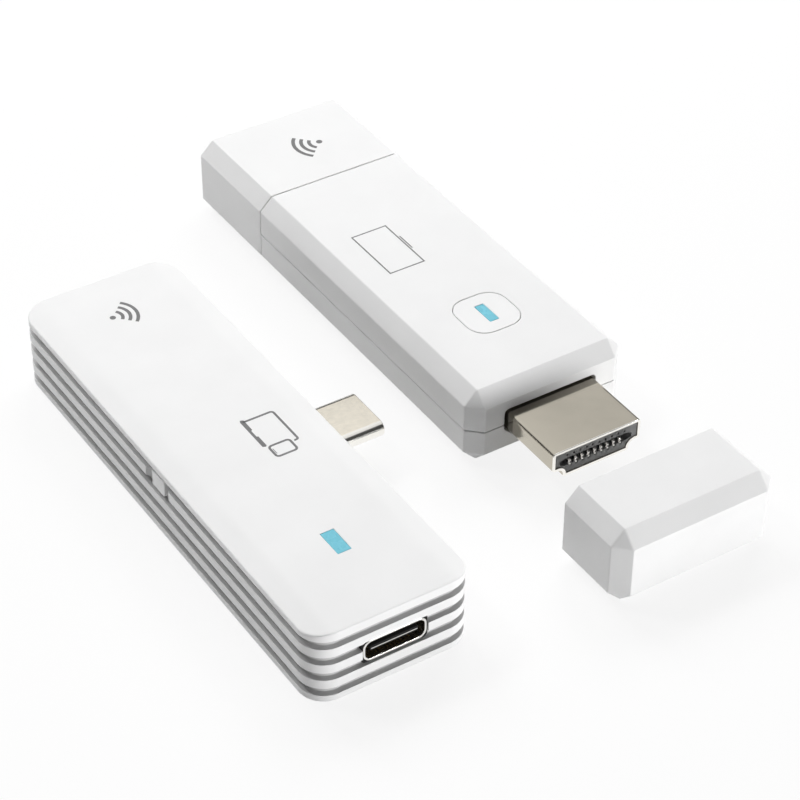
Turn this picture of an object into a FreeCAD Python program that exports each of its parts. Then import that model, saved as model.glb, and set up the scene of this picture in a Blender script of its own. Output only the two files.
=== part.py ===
import FreeCAD, Part
import math
import os

# Wireless display adapter: a receiver with a display plug and its cap, and a transmitter.
# Millimetres. X runs across both units, Y along them, Z up. Both units lie on Z = 0.

# Bar-shaped body shared by the receiver and its cap
bar_half_width = 12.35
bar_height = 11.54
bar_bevel = 2.0
bar_wall = 1.2

# Receiver length and seams
receiver_length = 73.3
rear_cover_length = 19.2
parting_height = 5.68
seam = 0.12
fit_gap = 0.05

# Neck that carries the rear cover
neck_length = 3.0
neck_root = 2.0
neck_wall = 0.9

# Lips that line up the two receiver shells
lip_thickness = 0.7
lip_depth = 1.5
lip_rise = 1.0
lip_margin = 1.5

# Plug cap, shown taken off in front of the plug
cap_gap = 20.2
cap_depth = 11.7
cap_wall = 1.2
cap_end_wall = 1.0
cap_rib = 0.9

# Circuit boards
board_thickness = 0.8
board_height = 5.2
board_gap = 0.7
post_radius = 1.3
post_clearance = 0.3
peg_radius = 0.5
peg_clearance = 0.05
peg_set_back = 0.1

# Display plug
plug_width = 13.9
plug_height = 4.45
plug_length = 10.4
plug_root = 7.0
plug_sheet = 0.3
plug_bevel_width = 1.9
plug_bevel_height = 1.65
plug_foot_corner = 0.5
plug_side_corner = 0.6
plug_top_corner = 0.45
plug_set_back = 0.2
plug_clearance = 0.3
cradle_start = 3.0
cradle_thickness = 1.0
cradle_clearance = 0.1
plug_slot_half_width = 5.7
plug_slot_height = 1.2
plug_slot_depth = 7.5
plug_upper_contacts = 10
plug_lower_contacts = 9
contact_pitch = 1.0
contact_width = 0.3
contact_thickness = 0.2
contact_set_back = 1.6
contact_tail = 2.4

# Small sockets with rounded ends: charge port of the transmitter and power inlet of the receiver
socket_width = 8.94
socket_height = 3.26
socket_sheet = 0.3
socket_depth = 7.3
socket_set_back = 0.15
socket_clearance = 0.15
socket_corner_radius = 1.2
socket_hole_corner = 0.45
socket_back_block = 2.2
tongue_width = 6.69
tongue_thickness = 0.7
tongue_set_back = 0.4
fine_contacts = 12
fine_pitch = 0.5
fine_width = 0.25
fine_thickness = 0.06
fine_set_back = 0.5

# Round-ended plug on the transmitter's side
side_plug_width = 8.25
side_plug_height = 2.4
side_plug_length = 8.3
side_plug_end_flat = 0.05
side_plug_root = 5.5
side_plug_sheet = 0.3
side_plug_clearance = 0.12
side_plug_slot_width = 6.9
side_plug_slot_height = 0.95
side_plug_slot_depth = 5.6

# Receiver button and its light bar
button_half_size = 4.0
button_corner = 2.7
button_from_front = 15.1
button_gap = 0.08
button_flange = 0.6
button_flange_thickness = 0.6
button_travel = 0.3
button_play = 0.03
light_half_width = 0.7
light_half_length = 1.9
light_gap = 0.03
light_air_gap = 0.4

# Tactile switches and lamps
switch_size = 3.0
switch_height = 1.7
switch_bore_depth = 1.1
plunger_radius = 0.8
plunger_clearance = 0.06
plunger_rise = 0.45
plunger_depth = 0.5
button_stem_offset = 2.45
lamp_length = 1.6
lamp_width = 0.8
lamp_height = 0.6

# Parts on the receiver's board
video_chip_size = 9.0
video_chip_height = 1.0
video_chip_from_front = 34.0
spreader_half_width = 7.0
spreader_half_length = 10.0
spreader_thickness = 0.9
radio_can_width = 11.0
radio_can_length = 8.0
radio_can_height = 1.6
radio_can_gap = 1.2
can_sheet = 0.2
radio_chip_size = 5.0
radio_chip_height = 0.8
memory_chip_width = 8.0
memory_chip_length = 10.0
memory_chip_height = 0.9
crystal_width = 3.2
crystal_length = 2.5
crystal_height = 0.7
crystal_from_chip = 2.0
coil_size = 3.0
coil_height = 1.5
antenna_length = 7.0
antenna_width = 2.0
antenna_height = 0.8
antenna_edge = 0.3
receiver_post_front = 23.0
receiver_post_gap = 1.5

# Transmitter body
transmitter_half_width = 11.45
transmitter_half_length = 38.0
transmitter_corner = 3.6
transmitter_from_receiver = 40.75
transmitter_centre_y = 11.9
housing_height = 10.05
housing_wall = 1.7
housing_floor = 1.2
plate_edge = 0.35
plate_rise = 0.5
plate_band = 2.7
plate_edge_inset = 0.3
plate_skirt = 0.45
plate_lip_depth = 0.6
plate_lip_thickness = 0.8

# Ribs round the transmitter, with the plate's skirt as the first one
groove_count = 4
rib_pitch = 2.5
groove_height = 1.15
groove_depth = 0.88
foot_bevel = 0.25

# Pair button on the transmitter's side
pair_half_length = 1.6
pair_half_height = 1.2
pair_corner = 0.35
pair_height = 7.85
pair_gap = 0.1
pair_set_back = 0.15
pair_pocket_reach = 1.4
pair_pocket_slope = 1.0
pair_pocket_margin = 0.12
pair_flange = 0.4
pair_flange_thickness = 0.5
pair_travel = 0.3
pair_switch_depth = 1.9
pair_switch_width = 3.6
pair_switch_rise = 1.2
pair_plunger_radius = 0.6
pair_plunger_depth = 0.5
pair_bore_depth = 1.1
side_plug_from_centre = -0.4

# Transmitter light window and the parts on its board
window_half_width = 0.95
window_half_length = 2.1
window_from_front = 13.5
encoder_size = 10.0
encoder_height = 1.0
encoder_from_front = 29.5
encoder_spreader_half_length = 8.0
spreader_edge_gap = 0.9
transmitter_can_from_back = 15.0

# Heights and places that follow from the sizes above
board_top = board_height + board_thickness
board_middle = board_height + board_thickness / 2
rear_seam_y = receiver_length - rear_cover_length
inner_half_width = bar_half_width - bar_wall
neck_half_width = inner_half_width - fit_gap - neck_wall
receiver_board_half_width = neck_half_width - fit_gap
receiver_board_front = plug_root + fit_gap
receiver_board_back = receiver_length - bar_wall - board_gap
bevel_loss_per_wall = 2 - math.sqrt(2)
transmitter_cavity_half_width = transmitter_half_width - housing_wall
transmitter_cavity_half_length = transmitter_half_length - housing_wall
transmitter_cavity_corner = transmitter_corner - housing_wall
transmitter_board_half_width = transmitter_cavity_half_width - board_gap
transmitter_board_half_length = transmitter_cavity_half_length - board_gap
plate_bottom = housing_height + seam
skirt_bottom = plate_bottom - plate_skirt
plate_top = plate_bottom + plate_edge + plate_rise
receiver_ceiling = bar_height - bar_wall
receiver_post_side = spreader_half_width + post_radius + post_clearance
inlet_mouth = receiver_length - socket_set_back
receiver_can_y = inlet_mouth - socket_depth - radio_can_gap - radio_can_length / 2
receiver_post_rear = rear_seam_y - neck_root - receiver_post_gap - post_radius
window_y = window_from_front - transmitter_half_length
encoder_y = encoder_from_front - transmitter_half_length
transmitter_can_y = transmitter_half_length - transmitter_can_from_back
transmitter_lip_inner_half_width = transmitter_cavity_half_width - fit_gap - plate_lip_thickness
encoder_spreader_half_width = transmitter_lip_inner_half_width - spreader_edge_gap
transmitter_post_side = transmitter_board_half_width - post_radius - post_clearance
transmitter_post_front = encoder_y - encoder_spreader_half_length - post_radius - post_clearance
transmitter_antenna_y = transmitter_board_half_length - antenna_width / 2 - antenna_edge
transmitter_post_rear = transmitter_antenna_y - antenna_width / 2 - post_radius - post_clearance
plunger_top = board_top + switch_height + plunger_rise
pair_flange_inner = -transmitter_cavity_half_width + button_play + pair_flange_thickness
pair_switch_face = pair_flange_inner + plunger_rise
port_mouth = socket_set_back - transmitter_half_length
side_plug_tip = transmitter_half_width + side_plug_length
side_plug_back = transmitter_half_width - side_plug_root


# Outlines and simple solids

def box(x_low, x_high, y_low, y_high, z_low, z_high):
    """Box between the given limits."""
    corner = FreeCAD.Vector(x_low, y_low, z_low)
    return Part.makeBox(x_high - x_low, y_high - y_low, z_high - z_low, corner)


def block(x, y, z_low, length_x, length_y, height):
    """Box centred on x and y that stands on z_low."""
    half_x = length_x / 2
    half_y = length_y / 2
    return box(x - half_x, x + half_x, y - half_y, y + half_y, z_low, z_low + height)


def post(x, y, z_low, z_high, radius):
    """Upright round post."""
    return Part.makeCylinder(radius, z_high - z_low, FreeCAD.Vector(x, y, z_low))


def rectangle(half_u, half_v, centre_u=0.0, centre_v=0.0):
    """Corners of a rectangle, counter-clockwise."""
    return [
        (centre_u - half_u, centre_v - half_v),
        (centre_u + half_u, centre_v - half_v),
        (centre_u + half_u, centre_v + half_v),
        (centre_u - half_u, centre_v + half_v),
    ]


def inset(corners, distance):
    """Convex counter-clockwise outline with every side moved inward by the distance."""
    moved = []
    count = len(corners)
    for index in range(count):
        before = corners[index - 1]
        here = corners[index]
        after = corners[(index + 1) % count]
        first = unit(before, here)
        second = unit(here, after)
        first_point = (here[0] - first[1] * distance, here[1] + first[0] * distance)
        second_point = (here[0] - second[1] * distance, here[1] + second[0] * distance)
        cross = first[0] * second[1] - first[1] * second[0]
        gap_u = second_point[0] - first_point[0]
        gap_v = second_point[1] - first_point[1]
        step = (gap_u * second[1] - gap_v * second[0]) / cross
        moved.append((first_point[0] + first[0] * step, first_point[1] + first[1] * step))
    return moved


def unit(start, end):
    """Unit direction from start to end."""
    length = math.hypot(end[0] - start[0], end[1] - start[1])
    return ((end[0] - start[0]) / length, (end[1] - start[1]) / length)


def wire(corners, radii, axis, level):
    """Closed outline with rounded corners, square to the axis at the given level."""
    spans = []
    count = len(corners)
    for index in range(count):
        here = corners[index]
        back = unit(here, corners[index - 1])
        ahead = unit(here, corners[(index + 1) % count])
        half_angle = math.acos(back[0] * ahead[0] + back[1] * ahead[1]) / 2
        reach = radii[index] / math.tan(half_angle)
        start = (here[0] + back[0] * reach, here[1] + back[1] * reach)
        end = (here[0] + ahead[0] * reach, here[1] + ahead[1] * reach)
        inward = unit((0, 0), (back[0] + ahead[0], back[1] + ahead[1]))
        sagitta = radii[index] / math.sin(half_angle) - radii[index]
        middle = (here[0] + inward[0] * sagitta, here[1] + inward[1] * sagitta)
        spans.append((start, middle, end, radii[index]))
    edges = []
    for index in range(count):
        start, middle, end, radius = spans[index]
        if radius > 0:
            arc = Part.Arc(lift(start, axis, level), lift(middle, axis, level), lift(end, axis, level))
            edges.append(arc.toShape())
        following = spans[(index + 1) % count][0]
        if math.hypot(following[0] - end[0], following[1] - end[1]) > 1e-6:
            edges.append(Part.makeLine(lift(end, axis, level), lift(following, axis, level)))
    return Part.Wire(edges)


def lift(point, axis, level):
    """Point of an outline put into space: (y, z) along X, (x, z) along Y, (x, y) along Z."""
    if axis == "x":
        return FreeCAD.Vector(level, point[0], point[1])
    if axis == "y":
        return FreeCAD.Vector(point[0], level, point[1])
    return FreeCAD.Vector(point[0], point[1], level)


def prism(corners, radii, axis, low, high):
    """Outline with rounded corners, drawn out along the axis from low to high."""
    face = Part.Face(wire(corners, radii, axis, low))
    return face.extrude(lift((0, 0), axis, 1.0) * (high - low))


def even_prism(corners, radius, axis, low, high):
    """Outline drawn out along the axis, with the same radius at every corner."""
    return prism(corners, [radius] * len(corners), axis, low, high)


def slab(half_x, half_y, radius, z_low, z_high):
    """Upright prism of a rectangle with rounded corners, centred on the origin."""
    return even_prism(rectangle(half_x, half_y), radius, "z", z_low, z_high)


def tapered_slab(low_inset, high_inset, z_low, z_high):
    """Slab of the transmitter's outline that is set in by different amounts below and above."""
    outlines = []
    for distance, level in ((low_inset, z_low), (high_inset, z_high)):
        corners = rectangle(transmitter_half_width - distance, transmitter_half_length - distance)
        outlines.append(wire(corners, [transmitter_corner - distance] * len(corners), "z", level))
    return Part.makeLoft(outlines, True, True)


def bar(margin, y_low, y_high, bevel):
    """Bevelled bar: plain rectangles below and above, corners cut off along the walls.

    The margin is how far its sides, floor and ceiling lie inside the body's outer faces.
    """
    side = bar_half_width - margin
    levels = (margin, margin + bevel, bar_height - margin - bevel, bar_height - margin)
    plain = [
        (bevel - side, y_low + bevel),
        (side - bevel, y_low + bevel),
        (side - bevel, y_high - bevel),
        (bevel - side, y_high - bevel),
    ]
    cut = [
        (bevel - side, y_low),
        (side - bevel, y_low),
        (side, y_low + bevel),
        (side, y_high - bevel),
        (side - bevel, y_high),
        (bevel - side, y_high),
        (-side, y_high - bevel),
        (-side, y_low + bevel),
    ]
    faces = [flat([lift(point, "z", levels[0]) for point in plain])]
    faces.append(flat([lift(point, "z", levels[3]) for point in plain]))
    for index in range(8):
        start = cut[index]
        end = cut[(index + 1) % 8]
        corners = [lift(start, "z", levels[1]), lift(end, "z", levels[1])]
        corners += [lift(end, "z", levels[2]), lift(start, "z", levels[2])]
        faces.append(flat(corners))
    for plain_level, cut_level in ((levels[0], levels[1]), (levels[3], levels[2])):
        for index in range(4):
            corner = lift(plain[index], "z", plain_level)
            neighbour = lift(plain[(index + 1) % 4], "z", plain_level)
            side_start = lift(cut[2 * index], "z", cut_level)
            side_end = lift(cut[2 * index + 1], "z", cut_level)
            before = lift(cut[2 * index - 1], "z", cut_level)
            faces.append(flat([corner, neighbour, side_end, side_start]))
            faces.append(flat([before, side_start, corner]))
    solid = Part.makeSolid(Part.makeShell(faces))
    if solid.Volume < 0:
        solid.reverse()
    return solid


def flat(points):
    """Flat face through the points in turn."""
    return Part.Face(Part.makePolygon(points + [points[0]]))


def inner_bevel(margin):
    """Bevel of a bar that lies the margin inside the body's outer faces, at an even wall."""
    return bar_bevel - margin * bevel_loss_per_wall


def joined(shapes):
    """One solid from pieces that touch."""
    return shapes[0].multiFuse(shapes[1:]).removeSplitter()


# Board parts that both units use

def pegged_board(outline_solid, places):
    """Circuit board with locating holes."""
    holes = [post(x, y, 0, bar_height, peg_radius + peg_clearance) for x, y in places]
    return outline_solid.cut(Part.makeCompound(holes))


def peg_posts(places, floor):
    """Posts with pegs that carry a board."""
    posts = [post(x, y, floor, board_height, post_radius) for x, y in places]
    posts += [post(x, y, floor, board_top - peg_set_back, peg_radius) for x, y in places]
    return posts


def shield_can(x, y, width, length):
    """Pressed metal can, open towards the board."""
    outer = block(x, y, board_top, width, length, radio_can_height)
    inner_height = radio_can_height - can_sheet
    inner = block(x, y, board_top, width - 2 * can_sheet, length - 2 * can_sheet, inner_height)
    return outer.cut(inner)


def row_of(count, pitch):
    """Evenly spaced places, centred on zero."""
    return [(index - (count - 1) / 2) * pitch for index in range(count)]


def socket_outline(gap):
    """Corners of the socket's mouth, grown by the gap, centred on the board."""
    return rectangle(socket_width / 2 + gap, socket_height / 2 + gap, 0, 0)


def socket_corner(sheet_in):
    """Corner radius of the socket's shell after its sheet is taken off."""
    return socket_corner_radius - sheet_in


def socket_shell(mouth, inward, height):
    """Drawn shell of the socket. The mouth is its outer end, inward is +1 or -1 along Y."""
    ends = sorted((mouth, mouth + inward * socket_depth))
    outer = even_prism(raised(socket_outline(0), height), socket_corner(0), "y", ends[0], ends[1])
    bore = even_prism(raised(socket_outline(-socket_sheet), height), socket_corner(socket_sheet), "y",
                      ends[0], ends[1])
    return outer.cut(bore)


def raised(corners, height):
    """Outline moved up."""
    return [(u, v + height) for u, v in corners]


def socket_tongue(mouth, inward, height):
    """Moulded tongue with the block that closes the back of the socket."""
    back = mouth + inward * socket_depth
    block_ends = sorted((back, back - inward * socket_back_block))
    filler = even_prism(raised(socket_outline(-socket_sheet), height), socket_corner(socket_sheet), "y",
                        block_ends[0], block_ends[1])
    tip_ends = sorted((back, mouth + inward * tongue_set_back))
    tongue = box(-tongue_width / 2, tongue_width / 2, tip_ends[0], tip_ends[1],
                 height - tongue_thickness / 2, height + tongue_thickness / 2)
    return joined([filler, tongue])


def socket_contacts(mouth, inward, height):
    """Two rows of fine contacts on the tongue."""
    back = mouth + inward * (socket_depth - socket_back_block)
    ends = sorted((back, mouth + inward * (tongue_set_back + fine_set_back)))
    strips = []
    for x in row_of(fine_contacts, fine_pitch):
        for low in (height + tongue_thickness / 2, height - tongue_thickness / 2 - fine_thickness):
            strips.append(box(x - fine_width / 2, x + fine_width / 2, ends[0], ends[1],
                              low, low + fine_thickness))
    return Part.makeCompound(strips)


def socket_hole(y_low, y_high, height):
    """Squarer hole in a wall that the socket's mouth shows through."""
    outline = raised(socket_outline(socket_clearance), height)
    return even_prism(outline, socket_hole_corner, "y", y_low, y_high)


# Receiver

receiver_posts = [(side * receiver_post_side, y)
                  for side in (-1, 1) for y in (receiver_post_front, receiver_post_rear)]


def hull_margin_bar(margin):
    """Bar that lies the margin inside the receiver's outer faces, ends included."""
    return bar(margin, margin, receiver_length - margin, inner_bevel(margin))


def receiver_hull():
    """Whole hollow body before it is split at its seams."""
    return bar(0, 0, receiver_length, bar_bevel).cut(hull_margin_bar(bar_wall))


def across(y_low, y_high, z_low, z_high):
    """Wide box used to keep a stretch of the receiver."""
    return box(-bar_half_width, bar_half_width, y_low, y_high, z_low, z_high)


def neck():
    """Neck behind the rear seam that the rear cover slides over."""
    inner = hull_margin_bar(bar_wall + fit_gap + neck_wall)
    root = hull_margin_bar(bar_wall).cut(inner)
    root = root.common(across(rear_seam_y - neck_root, rear_seam_y - seam / 2, 0, bar_height))
    collar = hull_margin_bar(bar_wall + fit_gap).cut(inner)
    collar = collar.common(across(rear_seam_y - seam / 2, rear_seam_y + neck_length, 0, bar_height))
    return [root, collar]


def plug_outline(gap):
    """Corners of the display plug's section, grown by the gap, on the board's middle plane."""
    half_width = plug_width / 2
    half_height = plug_height / 2
    corners = [
        (plug_bevel_width - half_width, -half_height),
        (half_width - plug_bevel_width, -half_height),
        (half_width, plug_bevel_height - half_height),
        (half_width, half_height),
        (-half_width, half_height),
        (-half_width, plug_bevel_height - half_height),
    ]
    return raised(inset(corners, -gap), board_middle)


def plug_radii(gap):
    """Corner radii of the display plug's section, grown by the gap."""
    left_half = [plug_top_corner, plug_side_corner, plug_foot_corner]
    right_half = [plug_foot_corner, plug_side_corner, plug_top_corner]
    return [corner + gap for corner in left_half[2:] + right_half + left_half[:2]]


def plug_prism(gap, y_low, y_high):
    """Stretch of the display plug's section, grown by the gap."""
    return prism(plug_outline(gap), plug_radii(gap), "y", y_low, y_high)


def receiver_half(z_low, z_high):
    """Front part of the receiver's body between two heights, with its neck and plug cradle."""
    keep = across(0, rear_seam_y - seam / 2, z_low, z_high)
    walls = receiver_hull().common(keep)
    cradle_space = across(cradle_start, cradle_start + cradle_thickness, z_low, z_high)
    cradle = hull_margin_bar(bar_wall).common(cradle_space)
    cradle = cradle.cut(plug_prism(cradle_clearance, 0, plug_root))
    neck_keep = across(0, receiver_length, z_low, z_high)
    pieces = [walls, cradle] + [part.common(neck_keep) for part in neck()]
    return joined(pieces).cut(plug_prism(plug_clearance, -bar_wall, bar_wall + fit_gap))


def receiver_top_shell():
    """Upper shell with the button hole and the posts that hold the board down."""
    shell = receiver_half(parting_height + seam / 2, bar_height)
    posts = [post(x, y, board_top, receiver_ceiling, post_radius) for x, y in receiver_posts]
    shell = joined([shell] + posts)
    hole = rectangle(button_half_size + button_gap, button_half_size + button_gap, 0, button_from_front)
    return shell.cut(even_prism(hole, button_corner + button_gap, "z", board_top, bar_height + seam))


def receiver_bottom_shell():
    """Lower shell with board posts and two lips that line up the upper shell."""
    shell = receiver_half(0, parting_height - seam / 2)
    lips = []
    lip_start = cradle_start + cradle_thickness + lip_margin
    lip_end = rear_seam_y - neck_root - lip_margin
    for side in (-1, 1):
        inner = side * (inner_half_width - fit_gap - lip_thickness)
        outer = side * (inner_half_width - fit_gap)
        wall = side * inner_half_width
        low = sorted((inner, wall))
        high = sorted((inner, outer))
        lips.append(box(low[0], low[1], lip_start, lip_end,
                        parting_height - lip_depth, parting_height - seam / 2))
        lips.append(box(high[0], high[1], lip_start, lip_end,
                        parting_height - lip_depth, parting_height + lip_rise))
    return joined([shell] + lips + peg_posts(receiver_posts, bar_wall))


def receiver_rear_cover():
    """Rear cover in one piece, with the hole for the power inlet."""
    cover = receiver_hull().common(across(rear_seam_y + seam / 2, receiver_length, 0, bar_height))
    return cover.cut(socket_hole(receiver_length - 2 * bar_wall, receiver_length + seam, board_middle))


def receiver_button():
    """Push button with a retaining flange, a stem to its switch and a slot for the light bar."""
    flange_top = receiver_ceiling - button_play
    flange_bottom = flange_top - button_flange_thickness
    cap = even_prism(rectangle(button_half_size, button_half_size, 0, button_from_front), button_corner,
                     "z", flange_bottom, bar_height)
    half_flange = button_half_size + button_flange
    flange_corners = rectangle(half_flange, half_flange, 0, button_from_front)
    flange = even_prism(flange_corners, button_corner + button_flange, "z", flange_bottom, flange_top)
    stem = post(-button_stem_offset, button_from_front, plunger_top, flange_bottom, plunger_radius)
    slot = block(0, button_from_front, board_top, 2 * (light_half_width + light_gap),
                 2 * (light_half_length + light_gap), bar_height)
    return joined([cap, flange, stem]).cut(slot)


def receiver_light_window():
    """Light bar that rides in the button and ends above the lamp."""
    low = board_top + lamp_height + light_air_gap
    return block(0, button_from_front, low, 2 * light_half_width, 2 * light_half_length, bar_height - low)


def receiver_switch():
    """Tactile switch under the button, with the bore for its plunger."""
    body = block(-button_stem_offset, button_from_front, board_top, switch_size, switch_size, switch_height)
    bore = post(-button_stem_offset, button_from_front, board_top + switch_height - switch_bore_depth,
                board_top + 2 * switch_height, plunger_radius + plunger_clearance)
    return body.cut(bore)


def receiver_switch_plunger():
    """Plunger that the button's stem pushes."""
    return post(-button_stem_offset, button_from_front, board_top + switch_height - plunger_depth,
                plunger_top, plunger_radius)


def lamp(x, y):
    """Surface-mounted lamp."""
    return block(x, y, board_top, lamp_width, lamp_length, lamp_height)


def receiver_board():
    """Circuit board that runs from the plug to the rear cover, cut out round the power inlet."""
    outline = box(-receiver_board_half_width, receiver_board_half_width, receiver_board_front,
                  receiver_board_back, board_height, board_top)
    half_notch = socket_width / 2 + fit_gap
    notch = box(-half_notch, half_notch, inlet_mouth - socket_depth - fit_gap, receiver_length,
                board_height, board_top)
    return pegged_board(outline.cut(notch), receiver_posts)


def receiver_video_chip():
    """Video processor."""
    return block(0, video_chip_from_front, board_top, video_chip_size, video_chip_size, video_chip_height)


def receiver_heat_spreader():
    """Metal plate under the upper shell."""
    return block(0, video_chip_from_front, receiver_ceiling - spreader_thickness, 2 * spreader_half_width,
                 2 * spreader_half_length, spreader_thickness)


def receiver_thermal_pad():
    """Soft pad between the video processor and the spreader."""
    low = board_top + video_chip_height
    height = receiver_ceiling - spreader_thickness - low
    return block(0, video_chip_from_front, low, video_chip_size, video_chip_size, height)


def receiver_radio_can():
    """Metal can over the radio."""
    return shield_can(0, receiver_can_y, radio_can_width, radio_can_length)


def receiver_radio_chip():
    """Radio chip under its can."""
    return block(0, receiver_can_y, board_top, radio_chip_size, radio_chip_size, radio_chip_height)


def receiver_memory_chip():
    """Memory on the underside of the board."""
    return block(0, video_chip_from_front, board_height - memory_chip_height, memory_chip_width,
                 memory_chip_length, memory_chip_height)


def receiver_crystal():
    """Clock crystal in a small metal can."""
    y = video_chip_from_front - video_chip_size / 2 - crystal_from_chip - crystal_length / 2
    return block(crystal_width, y, board_top, crystal_width, crystal_length, crystal_height)


def receiver_power_coils():
    """Two coils of the power supply."""
    y = video_chip_from_front + video_chip_size / 2 + crystal_from_chip + coil_size / 2
    coils = [block(x, y, board_top, coil_size, coil_size, coil_height) for x in row_of(2, 1.5 * coil_size)]
    return Part.makeCompound(coils)


def receiver_antennas():
    """Two ceramic antennas on the underside, one along each side of the board."""
    y = receiver_length - rear_cover_length / 2
    x = receiver_board_half_width - antenna_width
    low = board_height - antenna_height
    return Part.makeCompound([block(side * x, y, low, antenna_width, antenna_length, antenna_height)
                              for side in (-1, 1)])


def plug_shell():
    """Folded metal shell of the display plug."""
    outer = plug_prism(0, -plug_length, plug_root)
    return outer.cut(plug_prism(-plug_sheet, -plug_length, plug_root))


def plug_contacts():
    """Upper and lower contacts of the display plug, with tails that lie on the board."""
    front = -plug_length + contact_set_back
    back = receiver_board_front + contact_tail
    strips = []
    rows = ((plug_upper_contacts, board_top), (plug_lower_contacts, board_height - contact_thickness))
    for count, low in rows:
        for x in row_of(count, contact_pitch):
            strips.append(box(x - contact_width / 2, x + contact_width / 2, front, back,
                              low, low + contact_thickness))
    return Part.makeCompound(strips)


def plug_insulator():
    """Moulded insert of the display plug, with the slot that a socket's tongue enters."""
    front = -plug_length + plug_set_back
    body = plug_prism(-plug_sheet, front, plug_root)
    slot = box(-plug_slot_half_width, plug_slot_half_width, front, front + plug_slot_depth,
               board_middle - plug_slot_height / 2, board_middle + plug_slot_height / 2)
    return body.cut(slot).cut(plug_contacts())


def plug_cap():
    """Cap that covers the display plug, with ribs inside that grip the plug's shell."""
    front = -cap_gap - cap_depth
    long_bar = bar(0, front, front + 2 * cap_depth, bar_bevel)
    hollow = bar(cap_wall, front + cap_end_wall, front + 2 * cap_depth, inner_bevel(cap_wall))
    keep = across(front, -cap_gap, 0, bar_height)
    shell = long_bar.cut(hollow).common(keep)
    plug_space = plug_prism(cradle_clearance, front + cap_end_wall, -cap_gap)
    inside = hollow.common(across(front + cap_end_wall, -cap_gap, 0, bar_height))
    ribs = []
    for x in row_of(2, plug_width / 2):
        upright = box(x - cap_rib / 2, x + cap_rib / 2, front, -cap_gap - cap_end_wall, 0, bar_height)
        ribs.append(upright.common(inside).cut(plug_space))
    level = box(-bar_half_width, bar_half_width, front, -cap_gap - cap_end_wall,
                board_middle + cap_rib / 2, board_middle + 3 * cap_rib / 2)
    ribs.append(level.common(inside).cut(plug_space))
    return joined([shell] + ribs)


# Transmitter, modelled round its own centre

transmitter_posts = [(side * transmitter_post_side, y)
                     for side in (-1, 1) for y in (transmitter_post_front, transmitter_post_rear)]


def ribbed_body():
    """Outer form of the housing: a body that reaches into the plate's skirt, with flat ribs round it."""
    pieces = [tapered_slab(groove_depth, groove_depth, foot_bevel, housing_height)]
    rib_top = skirt_bottom - groove_height
    for index in range(1, groove_count):
        rib_bottom = skirt_bottom - index * rib_pitch
        pieces.append(tapered_slab(0, 0, rib_bottom, rib_top))
        rib_top = rib_bottom - groove_height
    pieces.append(tapered_slab(0, 0, foot_bevel, rib_top))
    pieces.append(tapered_slab(foot_bevel, 0, 0, foot_bevel))
    return joined(pieces)


def pair_pocket():
    """Pocket with sloping ends round the pair button."""
    face = -transmitter_half_width
    outer = pair_half_length + pair_pocket_reach
    inner = outer - pair_pocket_slope
    floor = face + groove_depth
    corners = [
        (face - seam, side_plug_from_centre - outer),
        (floor, side_plug_from_centre - inner),
        (floor, side_plug_from_centre + inner),
        (face - seam, side_plug_from_centre + outer),
    ]
    half_height = pair_half_height + pair_pocket_margin
    return even_prism(corners, 0, "z", pair_height - half_height, pair_height + half_height)


def transmitter_housing():
    """Ribbed housing with its floor, board posts and the holes for the port, plug and pair button."""
    cavity = slab(transmitter_cavity_half_width, transmitter_cavity_half_length, transmitter_cavity_corner,
                  housing_floor, housing_height)
    body = joined([ribbed_body().cut(cavity)] + peg_posts(transmitter_posts, housing_floor))
    front = -transmitter_half_length
    holes = [socket_hole(front - seam, front + housing_wall + fit_gap, board_middle), pair_pocket()]
    half_plug = side_plug_width / 2 + side_plug_clearance
    plug_hole = rectangle(half_plug, side_plug_height / 2 + side_plug_clearance,
                          side_plug_from_centre, board_middle)
    holes.append(even_prism(plug_hole, side_plug_height / 2, "x", transmitter_half_width - 2 * housing_wall,
                            transmitter_half_width + seam))
    button_hole = rectangle(pair_half_length + pair_gap, pair_half_height + pair_gap,
                            side_plug_from_centre, pair_height)
    holes.append(even_prism(button_hole, pair_corner + pair_gap, "x", -transmitter_half_width,
                            2 * housing_wall - transmitter_half_width))
    return body.cut(Part.makeCompound(holes))


def transmitter_top_plate():
    """Top plate: shallow slopes along both long sides, a small edge, a skirt all round and a lip inside."""
    edge_top = plate_bottom + plate_edge
    section = [
        (-transmitter_half_width, plate_bottom),
        (transmitter_half_width, plate_bottom),
        (transmitter_half_width, edge_top),
        (transmitter_half_width - plate_band, plate_top),
        (plate_band - transmitter_half_width, plate_top),
        (-transmitter_half_width, edge_top),
    ]
    crown = even_prism(section, 0, "y", -transmitter_half_length, transmitter_half_length)
    outline = joined([tapered_slab(0, 0, plate_bottom, edge_top - plate_edge_inset / 2),
                      tapered_slab(0, plate_edge_inset, edge_top - plate_edge_inset / 2, plate_top)])
    skirt_inset = groove_depth - fit_gap
    skirt = tapered_slab(0, 0, skirt_bottom, plate_bottom).cut(
        tapered_slab(skirt_inset, skirt_inset, skirt_bottom, plate_bottom))
    plate = joined([crown.common(outline), skirt])
    lip_half_width = transmitter_cavity_half_width - fit_gap
    lip_half_length = transmitter_cavity_half_length - fit_gap
    lip_corner = transmitter_cavity_corner - fit_gap
    lip_bottom = plate_bottom - plate_lip_depth
    lip = slab(lip_half_width, lip_half_length, lip_corner, lip_bottom, plate_bottom)
    lip = lip.cut(slab(lip_half_width - plate_lip_thickness, lip_half_length - plate_lip_thickness,
                       lip_corner - plate_lip_thickness, lip_bottom, plate_bottom))
    posts = [post(x, y, board_top, plate_bottom, post_radius) for x, y in transmitter_posts]
    window = block(0, window_y, board_top, 2 * (window_half_width + light_gap),
                   2 * (window_half_length + light_gap), plate_top)
    return joined([plate, lip] + posts).cut(window)


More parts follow.
